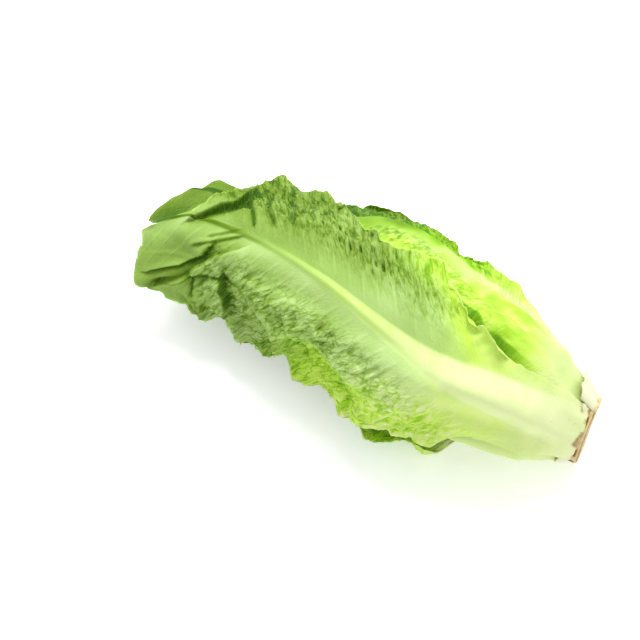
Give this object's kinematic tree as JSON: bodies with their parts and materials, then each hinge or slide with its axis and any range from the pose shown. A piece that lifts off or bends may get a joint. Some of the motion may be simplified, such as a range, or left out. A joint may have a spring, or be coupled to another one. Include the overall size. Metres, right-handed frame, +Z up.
{
  "type": "romaine lettuce head",
  "caption": "Head of romaine lettuce lying on its side: long ribbed leaves with waved edges, wrapped round a dense heart on a short cut stem.",
  "frame": {"origin": "middle of the head's footprint, on the surface it lies on", "axes": "+X along the head towards the cut stem, so the leaf tips are at -X; +Z up from the surface; +Y across the head"},
  "size_m": [0.2882, 0.1274, 0.095],
  "materials": {
    "stem": null,
    "leaf": null,
    "heart": null
  },
  "bodies": {
    "root": {"stem": "stem", "leaf_01": "leaf", "leaf_02": "leaf", "leaf_03": "leaf", "leaf_04": "leaf", "leaf_05": "leaf", "leaf_06": "leaf", "leaf_07": "leaf", "leaf_08": "leaf", "leaf_09": "leaf", "leaf_10": "leaf", "heart": "heart"}
  },
  "joints": []
}
